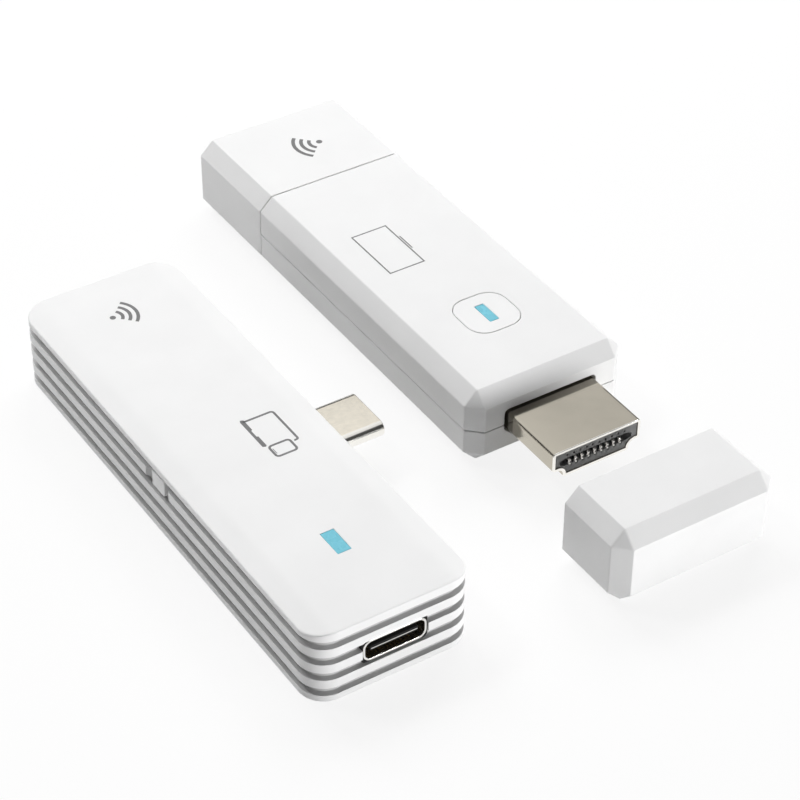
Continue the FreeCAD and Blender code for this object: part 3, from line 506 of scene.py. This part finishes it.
def plug_outline(inset):
    """Section of the display plug: straight sides, lower corners curved in."""
    corners = [(-PLUG_FOOT, -PLUG_HALF_HEIGHT), (PLUG_FOOT, -PLUG_HALF_HEIGHT),
               (PLUG_FOOT, PLUG_STEP), (PLUG_HALF_WIDTH, PLUG_STEP),
               (PLUG_HALF_WIDTH, PLUG_HALF_HEIGHT), (-PLUG_HALF_WIDTH, PLUG_HALF_HEIGHT),
               (-PLUG_HALF_WIDTH, PLUG_STEP), (-PLUG_FOOT, PLUG_STEP)]
    radii = [0.34, 0.34, 0.87, 0.55, 0.55, 0.55, 0.55, 0.87]
    signs = [1, 1, -1, 1, 1, 1, 1, -1]
    moved = [(u - math.copysign(inset, u), v + (inset if v < 0 else -inset)) for u, v in corners]
    points = rounded(moved, [radius - inset * sign for radius, sign in zip(radii, signs)], 7)
    return [point + Vector((0.0, BOARD_MIDDLE)) for point in points]


def display_plug_shell():
    shell = sheet_tube(plug_outline, "y", PLUG_ROOT, PLUG_TIP, PLUG_SHEET, RECEIVER, 0.1, 0.04)
    window_half_width, window_half_length, window_y = 0.75, 1.9, -4.2
    seam_half_width, seam_half_length, seam_y = 0.055, 6.2, -4.0
    openings = []
    for x in SPRING_PLACES:
        window = round_rectangle(window_half_width, window_half_length, 0.2, x, window_y, 4)
        openings.append(prism(window, "z", BOARD_MIDDLE - 2.4, BOARD_MIDDLE - 2.0, RECEIVER))
    for x in (-0.35, 0.35):
        seam = round_rectangle(seam_half_width, seam_half_length, 0.05, x, seam_y, 2)
        openings.append(prism(seam, "z", BOARD_MIDDLE - 2.3, BOARD_MIDDLE - 2.1, RECEIVER))
    piece = piece_from("display_plug_skin", carved(shell, openings), plug_nickel, "receiver")
    # Painted highlight: the mouth's rim takes the paler plating
    refinished(piece, plug_painted_highlight, lambda centre: centre.y * 1000 < RECEIVER.y + PLUG_TIP + 0.3)
    standing_for(piece, "display_plug_shell")


def display_plug_springs():
    path = ((-2.4, -2.07), (-3.0, -2.06), (-4.0, -2.16), (-4.8, -2.2), (-5.6, -2.1), (-5.9, -1.98))
    half_width, thickness = 0.5, 0.12
    mesh = bmesh.new()
    for x in SPRING_PLACES:
        left, right = x - half_width, x + half_width
        rings = []
        for y, z in path:
            strip = [(left, z), (right, z), (right, z + thickness), (left, z + thickness)]
            rings.append(lifted(strip, "y", y, RECEIVER + MIDDLE))
        loft(mesh, rings)
    piece_from("display_plug_springs", mesh, plug_nickel, "receiver")


def display_plug_insert():
    body = plug_body(plug_outline, "y", PLUG_ROOT, PLUG_INSERT_TIP, PLUG_SHEET + 0.005, 0.04, RECEIVER)
    slot = [(-5.7, -0.34), (-4.75, -0.6), (4.75, -0.6), (5.7, -0.34),
            (5.7, 0.34), (4.75, 0.6), (-4.75, 0.6), (-5.7, 0.34)]
    recesses = [(rounded(slot, [0.08] * 8, 2), 7.5)]
    recesses += [(round_rectangle(0.25, 0.2, 0.1, x, -0.75, 3), 1.6) for x in LOWER_CONTACTS]
    recesses += [(round_rectangle(0.17, 0.17, 0.15, x, 1.02, 3), 0.7) for x in UPPER_CONTACTS]
    cutters = [prism(outline, "y", PLUG_INSERT_TIP - 0.1, PLUG_INSERT_TIP + depth, RECEIVER + MIDDLE)
               for outline, depth in recesses]
    piece = piece_from("display_plug_insert", carved(body, cutters), insert_grey, "receiver", 30.0)
    standing_for(piece, "display_plug_insulator")


def display_plug_contacts():
    lower = ((9.4, -0.5), (-5.0, -0.5), (-7.2, -0.44), (-8.6, -0.26), (-9.25, -0.1), (-9.6, -0.06),
             (-9.86, -0.14), (-9.98, -0.3), (-9.96, -0.42), (-9.8, -0.52), (-9.82, -0.6), (-9.98, -0.66),
             (-10.04, -0.78), (-10.0, -0.92))
    upper = ((9.4, 0.5), (-5.0, 0.5), (-6.4, 0.46), (-7.6, 0.28), (-8.2, 0.16), (-8.5, 0.16), (-8.8, 0.3),
             (-8.9, 0.5))
    mesh = bmesh.new()
    for places, path in ((LOWER_CONTACTS, lower), (UPPER_CONTACTS, upper)):
        for x in places:
            sprung_strip(mesh, path, x, CONTACT_WIDTH, CONTACT_THICKNESS, RECEIVER + MIDDLE)
    piece = piece_from("display_plug_springs_inside", mesh, contact_bright, "receiver", 60.0)
    standing_for(piece, "display_plug_contacts")


# Side plug, charge port and power inlet: drawn shells with rounded mouths

def round_ended(half_width, half_height, corner, inset=0.0):
    return round_rectangle(half_width - inset, half_height - inset, corner - inset, 0, BOARD_MIDDLE, 9)


def side_plug_outline(inset):
    return round_ended(SIDE_PLUG_HALF_WIDTH, SIDE_PLUG_HALF_HEIGHT, SIDE_PLUG_CORNER, inset)


def port_outline(inset):
    return round_ended(PORT_HALF_WIDTH, PORT_HALF_HEIGHT, PORT_CORNER, inset)


def tongue_outline(inset):
    return round_rectangle(3.345 - inset, 0.35 - inset, 0.12 - inset, 0, BOARD_MIDDLE, 4)


def side_plug():
    """Drawn shell whose two round sides carry a painted highlight: a paler plating than its flat ones."""
    centre = TRANSMITTER + Vector((0, SIDE_PLUG_Y, 0))
    mesh = sheet_tube(side_plug_outline, "x", SIDE_PLUG_ROOT, SIDE_PLUG_TIP, DRAWN_SHEET, centre)
    piece = piece_from("side_plug_skin", mesh, side_plug_nickel, "transmitter")
    flat = SIDE_PLUG_HALF_WIDTH - SIDE_PLUG_CORNER + 0.2
    # Painted highlight: the round sides take the paler plating
    refinished(piece, plug_painted_highlight, lambda middle: abs(middle.y * 1000 - centre.y) > flat)
    standing_for(piece, "side_plug_shell")


def port_rims():
    for name, node, body, root, tip, place in (
            ("charge_port_rim", "charge_port_shell", "transmitter", -30.55, -37.85, TRANSMITTER),
            ("power_inlet_rim", "power_inlet_shell", "receiver", 65.85, 73.15, RECEIVER)):
        mesh = sheet_tube(port_outline, "y", root, tip, DRAWN_SHEET, place, 0.07, 0.05)
        standing_for(piece_from(name, mesh, socket_steel, body), node)


def charge_port_inside():
    """Black frame round the shell and the tongue with its steel core showing at the tip."""
    front = -HALF_LENGTH
    border, near, far = 0.14, 0.3, 0.9
    outside = round_rectangle(PORT_HALF_WIDTH + border, PORT_HALF_HEIGHT + border, 0.45, 0, BOARD_MIDDLE, 9)
    inside = port_outline(0.0)
    surround = bmesh.new()
    bored(surround, [lifted(outline, "y", front + level, TRANSMITTER) for outline, level in
                     ((outside, near), (outside, far), (inside, far), (inside, near))])
    piece_from("charge_port_frame", surround, port_black, "transmitter")

    tongue = plug_body(tongue_outline, "y", front + TONGUE_ROOT, front + TONGUE_TIP, 0.0, 0.08, TRANSMITTER)
    foot = round_ended(4.16, 1.32, 0.89)
    loft(tongue, [lifted(foot, "y", front + level, TRANSMITTER) for level in (TONGUE_FOOT, TONGUE_ROOT)])
    piece = piece_from("charge_port_tongue_moulding", tongue, port_black, "transmitter")
    standing_for(piece, "charge_port_tongue")

    section = round_rectangle(3.25, 0.055, 0.02, 0, BOARD_MIDDLE, 2)
    core = prism(section, "y", front + TONGUE_TIP - 0.05, front + 2.0, TRANSMITTER)
    piece_from("charge_port_tongue_core", core, socket_steel, "transmitter")


# Transmitter: ribbed housing and crowned top plate

def outline_in(inset, level, steps=12):
    """The transmitter's outline, moved inwards, at a height."""
    corner = max(CORNER - inset, 0.02)
    points = round_rectangle(HALF_WIDTH - inset, HALF_LENGTH - inset, corner, 0, 0, steps)
    return lifted(points, "z", level, TRANSMITTER)


def rib_profile():
    """(inset, height) pairs from the foot to the top of the neck inside the plate's skirt."""
    edge = 0.05
    pairs = [(0.25, 0.0), (0.1, 0.06), (0.0, 0.22)]
    for index in reversed(range(GROOVE_COUNT)):
        top = SKIRT_BOTTOM - index * RIB_PITCH
        ledge = top - GROOVE_HEIGHT
        pairs += [(edge * run, ledge - edge * (1 - rise)) for run, rise in quarter(2)]
        pairs += [(GROOVE_DEPTH - 0.08, ledge), (GROOVE_DEPTH, ledge + 0.08)]
        if index > 0:
            pairs.append((GROOVE_DEPTH, top))
            pairs += [(edge * (1 - rise), top + edge * run) for run, rise in quarter(2)]
    return pairs + [(GROOVE_DEPTH, HOUSING_TOP - 0.04), (GROOVE_DEPTH + 0.04, HOUSING_TOP)]


def inset_of(point):
    """How far a point lies inside the transmitter's outline, in millimetres."""
    x, y = (abs(1000 * point[axis] - TRANSMITTER[axis]) for axis in (0, 1))
    round_x, round_y = x - HALF_WIDTH + CORNER, y - HALF_LENGTH + CORNER
    if round_x > 0 and round_y > 0:
        return CORNER - math.hypot(round_x, round_y)
    return CORNER - max(round_x, round_y)


def in_groove(centre):
    return centre.z > 0.001 and 0.1 < inset_of(centre) < GROOVE_DEPTH + 0.02


def posts(mesh, low, high, radius):
    """Round posts between the housing's floor and the plate, each with a slightly narrower tip."""
    turns = [2 * math.pi * step / 24 for step in range(24)]
    for x, y in POST_PLACES:
        rings = []
        for level, share in ((low, 1.0), (high - 0.1, 1.0), (high, 0.88)):
            reach = radius * share
            ring = [(x + reach * math.cos(turn), y + reach * math.sin(turn)) for turn in turns]
            rings.append(lifted(ring, "z", level, TRANSMITTER))
        loft(mesh, rings)


def transmitter_housing():
    body = bmesh.new()
    loft(body, [outline_in(inset, level) for inset, level in rib_profile()])
    cavity = bmesh.new()
    loft(cavity, [outline_in(HOUSING_WALL + extra, level, 8) for extra, level in
                  ((0.3, HOUSING_FLOOR), (0.0, HOUSING_FLOOR + 0.3), (0.0, HOUSING_TOP + 0.5))])
    port = prism(round_rectangle(4.62, 1.78, 0.45, 0, 0, 6), "y",
                 -HALF_LENGTH - 0.5, 0.2 - HALF_LENGTH + HOUSING_WALL, TRANSMITTER + MIDDLE)
    passage = prism(round_rectangle(4.245, 1.32, 1.2, SIDE_PLUG_Y, 0, 8), "x",
                    HALF_WIDTH - HOUSING_WALL - 0.2, HALF_WIDTH + 0.5, TRANSMITTER + MIDDLE)
    face, back = -HALF_WIDTH - 0.12, -HALF_WIDTH + GROOVE_DEPTH - 0.01
    wide, narrow = 3.1, 2.0
    dish = [(face, SIDE_PLUG_Y - wide), (back, SIDE_PLUG_Y - narrow),
            (back, SIDE_PLUG_Y + narrow), (face, SIDE_PLUG_Y + wide)]
    pocket = prism(rounded(dish, [0.01, 0.15, 0.15, 0.01], 3), "z", PAIR_Z - PAIR_HALF_HEIGHT - PAIR_GAP,
                   PAIR_Z + PAIR_HALF_HEIGHT + PAIR_GAP, TRANSMITTER)
    hole = prism(round_rectangle(1.7, PAIR_HALF_HEIGHT + 0.1, 0.45, SIDE_PLUG_Y, PAIR_Z, 5), "x",
                 -HALF_WIDTH + 0.3, HOUSING_WALL + 0.2 - HALF_WIDTH, TRANSMITTER)
    mesh = carved(body, [cavity, port, passage, pocket, hole])
    posts(mesh, HOUSING_FLOOR - 0.05, POST_TOP, POST_RADIUS)
    posts(mesh, POST_TOP - 0.1, PEG_TOP, PEG_RADIUS)
    piece = piece_from("transmitter_housing_skin", mesh, housing_white, "transmitter", 40.0)
    # Painted shade: the faces inside the grooves take the darker plastic
    refinished(piece, groove_painted_shade, in_groove)
    shade_by_area(piece)
    standing_for(piece, "transmitter_housing")


def crown(x):
    """Height of the plate's top: flat in the middle, falling off towards both long sides."""
    slope = MARGIN_FALL / MARGIN_WIDTH
    beyond = abs(x) - (HALF_WIDTH - MARGIN_WIDTH)
    if beyond <= -MARGIN_BLEND:
        return PLATE_TOP
    if beyond >= MARGIN_BLEND:
        return PLATE_TOP - slope * beyond
    return PLATE_TOP - slope * (beyond + MARGIN_BLEND) ** 2 / (4 * MARGIN_BLEND)


def plate_ring(inset, drop):
    """The transmitter's outline, moved inwards, on the crowned top and lowered by the drop."""
    ring = []
    for point in outline_in(inset, 0.0):
        x = point.x * 1000 - TRANSMITTER.x
        ring.append(Vector((point.x, point.y, (crown(x) - drop) / 1000)))
    return ring


def transmitter_top_plate():
    edge, lip, skirt = 0.2, 0.05, GROOVE_DEPTH - 0.05
    rings = [outline_in(skirt, PLATE_BOTTOM), outline_in(skirt, SKIRT_BOTTOM)]
    rings += [outline_in(lip * (1 - rise), SKIRT_BOTTOM + lip * run) for run, rise in quarter(2)]
    rings += [plate_ring(edge * run, edge * (1 - rise)) for run, rise in quarter(6)]
    insets = (0.5, 0.8, 1.2, 1.6, 1.9, 2.15, 2.4, 2.65, 2.9, 3.15, 3.4, 4.0, 5.0, 8.0, 11.0)
    rings += [plate_ring(inset, 0.0) for inset in insets]
    plate = bmesh.new()
    loft(plate, rings)
    window = prism(round_rectangle(WINDOW_HALF_WIDTH, WINDOW_HALF_LENGTH, 0.08, 0, WINDOW_Y, 3), "z",
                   PLATE_BOTTOM - 0.5, PLATE_TOP + 0.5, TRANSMITTER)
    mesh = carved(plate, [window])
    rim, back = HOUSING_WALL + 0.05, PLATE_BOTTOM + 0.1
    lip_profile = ((rim, back), (rim, PLATE_BOTTOM - 0.5), (rim + 0.1, PLATE_BOTTOM - 0.6),
                   (rim + 0.8, PLATE_BOTTOM - 0.6), (rim + 0.8, back))
    bored(mesh, [outline_in(inset, level, 8) for inset, level in lip_profile])
    posts(mesh, PEG_TOP + 0.1, PLATE_BOTTOM + 0.1, POST_RADIUS)
    piece = piece_from("transmitter_plate_skin", mesh, plate_white, "transmitter", 40.0)
    shade_by_area(piece)
    standing_for(piece, "transmitter_top_plate")


# Prints on the tops: plain pictograms

def ribbon(mesh, path, width, level, place, closed=False):
    """Thin line of ink along a path."""
    rings = []
    count = len(path)
    for index in range(count):
        here = Vector(path[index])
        before = Vector(path[index - 1]) if closed or index > 0 else None
        after = Vector(path[(index + 1) % count]) if closed or index < count - 1 else None
        first = (here - before).normalized() if before else (after - here).normalized()
        second = (after - here).normalized() if after else first
        along = (first + second).normalized()
        reach = width / 2 / max(along.dot(first), 0.4)
        side = Vector((-along[1], along[0])) * reach
        ring = []
        for point, height in ((here + side, INK_TOP), (here - side, INK_TOP),
                              (here - side, INK_FOOT), (here + side, INK_FOOT)):
            ring.append((Vector((point[0], point[1], level + height)) + place) / 1000)
        rings.append(ring)
    if closed:
        bored(mesh, rings)
    else:
        loft(mesh, rings)


def patch(mesh, outline, level, place):
    """Area filled with ink."""
    loft(mesh, [lifted(outline, "z", level + height, place) for height in (INK_FOOT, INK_TOP)])


def arc(centre, radius, start, end, steps=20):
    turns = [math.radians(start + (end - start) * step / steps) for step in range(steps + 1)]
    return [(centre[0] + radius * math.cos(turn), centre[1] + radius * math.sin(turn)) for turn in turns]


def wireless_mark(name, centre, way, size, level, place, body):
    """Dot with three arcs beside it, opening along +X or -X."""
    mesh = bmesh.new()
    dot = (centre[0] - way * size * 0.52, centre[1])
    middle = 0.0 if way > 0 else 180.0
    patch(mesh, arc(dot, size * 0.13, 0, 360, 28)[:-1], level, place)
    for radius in (0.42, 0.74, 1.06):
        ribbon(mesh, arc(dot, size * radius, middle - 46, middle + 46), size * 0.15, level, place)
    piece_from(name, mesh, print_grey, body)


def screen_pictogram():
    """Outlined screen with the line of its stand beside it."""
    mesh = bmesh.new()
    ribbon(mesh, rectangle(2.75, 4.97, -3.38, 34.4), 0.21, RECEIVER_TOP, RECEIVER, closed=True)
    ribbon(mesh, [(-0.3, 36.2), (-0.3, 32.95)], 0.19, RECEIVER_TOP, RECEIVER)
    piece_from("screen_pictogram", mesh, print_grey, "receiver")


def computer_and_phone_pictogram():
    """Outlined lid over a solid base, and an outlined phone that stands before them."""
    line = 0.33
    lid = rounded([(2.0, 0.98), (6.18, 0.98), (6.18, -5.5), (5.62, -5.5)], [0.01, 0.42, 0.3, 0.01], 6)
    base = [(1.52, 1.1), (1.68, 1.5), (2.12, 1.32), (2.12, -0.9), (1.9, -1.05), (1.9, -2.35),
            (2.12, -2.5), (2.12, -4.5), (1.95, -4.72), (1.52, -4.55)]
    phone = round_rectangle(1.5, 1.14, 0.45, 3.62, -6.05, 6)
    mesh = bmesh.new()
    ribbon(mesh, lid, line, PLATE_TOP, TRANSMITTER)
    patch(mesh, base, PLATE_TOP, TRANSMITTER)
    ribbon(mesh, phone, line, PLATE_TOP, TRANSMITTER, closed=True)
    ribbon(mesh, [(2.42, -5.5), (2.42, -6.6)], 0.1, PLATE_TOP, TRANSMITTER)
    piece_from("computer_and_phone_pictogram", mesh, print_grey, "transmitter")


# Camera at the photograph's place and angle

def aim_camera():
    turn, rise, roll = (math.radians(angle) for angle in (CAMERA_TURN, CAMERA_RISE, CAMERA_ROLL))
    back = Vector((math.sin(turn) * math.cos(rise), -math.cos(turn) * math.cos(rise), math.sin(rise)))
    level_right = Vector((math.cos(turn), math.sin(turn), 0.0))
    level_up = back.cross(level_right)
    right = level_right * math.cos(roll) + level_up * math.sin(roll)
    up = level_up * math.cos(roll) - level_right * math.sin(roll)
    data = bpy.data.cameras.new("camera")
    data.sensor_width = CAMERA_SENSOR
    data.lens = CAMERA_LENS
    data.clip_start = 0.01
    data.clip_end = 20.0
    camera = bpy.data.objects.new("camera", data)
    bpy.context.scene.collection.objects.link(camera)
    place = (right * CAMERA_RIGHT + up * CAMERA_UP + back * CAMERA_BACK + RECEIVER) / 1000
    turned = Matrix((right, up, back)).transposed().to_quaternion()
    camera.matrix_world = Matrix.LocRotScale(place, turned, None)
    bpy.context.scene.camera = camera


# Floor, background and light

def shader_mix(tree, factor, first, second):
    mix = tree.nodes.new("ShaderNodeMixShader")
    tree.links.new(factor, mix.inputs[0])
    tree.links.new(first, mix.inputs[1])
    tree.links.new(second, mix.inputs[2])
    return mix.outputs[0]


def calculated(tree, operation, first, second):
    node = tree.nodes.new("ShaderNodeMath")
    node.operation = operation
    for socket, value in zip(node.inputs, (first, second)):
        if isinstance(value, float):
            socket.default_value = value
        else:
            tree.links.new(value, socket)
    return node.outputs[0]


def studio():
    """World that lights evenly, looks white, and darkens towards the horizon where metal mirrors it."""
    world = bpy.data.worlds.new("studio")
    bpy.context.scene.world = world
    world.use_nodes = True
    tree = world.node_tree
    tree.nodes.clear()
    path = tree.nodes.new("ShaderNodeLightPath")
    fills = []
    for strength in (AMBIENT, 1.0, 1.0):
        fill = tree.nodes.new("ShaderNodeBackground")
        fill.inputs["Color"].default_value = (1.0, 1.0, 1.0, 1.0)
        fill.inputs["Strength"].default_value = strength
        fills.append(fill)
    light, mirrored, white = fills
    direction = tree.nodes.new("ShaderNodeTexCoord")
    split = tree.nodes.new("ShaderNodeSeparateXYZ")
    tree.links.new(direction.outputs["Generated"], split.inputs[0])
    lean = calculated(tree, "MULTIPLY", split.outputs["Y"], SKY_LEAN)
    height = calculated(tree, "ADD", split.outputs["Z"], lean)
    rise = tree.nodes.new("ShaderNodeValToRGB")
    while len(rise.color_ramp.elements) < len(MIRRORED_SKY):
        rise.color_ramp.elements.new(0.5)
    for element, (position, grey) in zip(rise.color_ramp.elements, MIRRORED_SKY):
        element.position = position
        element.color = (grey, grey, grey, 1.0)
    tree.links.new(height, rise.inputs[0])
    tree.links.new(rise.outputs[0], mirrored.inputs["Color"])
    lit = shader_mix(tree, path.outputs["Is Glossy Ray"], light.outputs[0], mirrored.outputs[0])
    seen = calculated(tree, "MAXIMUM", path.outputs["Is Camera Ray"], path.outputs["Is Transmission Ray"])
    output = tree.nodes.new("ShaderNodeOutputWorld")
    tree.links.new(shader_mix(tree, seen, lit, white.outputs[0]), output.inputs["Surface"])


def floor():
    """Pale floor that looks white and keeps a soft shadow."""
    mesh = bmesh.new()
    corners = [(x, y, FLOOR_LEVEL) for x, y in rectangle(FLOOR_REACH, FLOOR_REACH)]
    mesh.faces.new([mesh.verts.new(corner) for corner in corners])
    data = bpy.data.meshes.new("floor")
    mesh.to_mesh(data)
    mesh.free()
    piece = bpy.data.objects.new("floor", data)
    bpy.context.scene.collection.objects.link(piece)
    material = bpy.data.materials.new("floor_pale")
    material.use_nodes = True
    tree = material.node_tree
    tree.nodes.clear()
    path = tree.nodes.new("ShaderNodeLightPath")
    lit = tree.nodes.new("ShaderNodeBsdfDiffuse")
    paler = calculated(tree, "MULTIPLY", path.outputs["Is Camera Ray"], FLOOR_SEEN - FLOOR_BOUNCE)
    tree.links.new(calculated(tree, "ADD", paler, FLOOR_BOUNCE), lit.inputs["Color"])
    white = tree.nodes.new("ShaderNodeEmission")
    share = calculated(tree, "MULTIPLY", path.outputs["Is Camera Ray"], FLOOR_WHITE)
    for ray in ("Is Glossy Ray", "Is Transmission Ray"):
        share = calculated(tree, "MAXIMUM", share, path.outputs[ray])
    output = tree.nodes.new("ShaderNodeOutputMaterial")
    tree.links.new(shader_mix(tree, share, lit.outputs[0], white.outputs[0]), output.inputs["Surface"])
    data.materials.append(material)


def softbox(name, direction, width, height, power, mirrored):
    """Area lamp a metre away, which shows in metal only where it is mirrored."""
    data = bpy.data.lights.new(name, "AREA")
    data.shape = "RECTANGLE"
    data.size = width
    data.size_y = height
    data.energy = power
    lamp = bpy.data.objects.new(name, data)
    bpy.context.scene.collection.objects.link(lamp)
    toward = Vector(direction).normalized()
    lamp.location = toward
    lamp.rotation_mode = "QUATERNION"
    lamp.rotation_quaternion = toward.to_track_quat("Z", "Y")
    lamp.visible_glossy = mirrored


display_plug_shell()
display_plug_springs()
display_plug_insert()
display_plug_contacts()
side_plug()
port_rims()
charge_port_inside()
transmitter_housing()
transmitter_top_plate()
screen_pictogram()
computer_and_phone_pictogram()
wireless_mark("receiver_wireless_mark", (0.8, 62.6), -1, 3.6, RECEIVER_TOP, RECEIVER, "receiver")
wireless_mark("transmitter_wireless_mark", (-0.1, 29.4), 1, 3.2, PLATE_TOP, TRANSMITTER, "transmitter")

studio()
floor()
for lamp in LAMPS:
    softbox(*lamp)
aim_camera()
bpy.context.scene.view_settings.view_transform = "Standard"
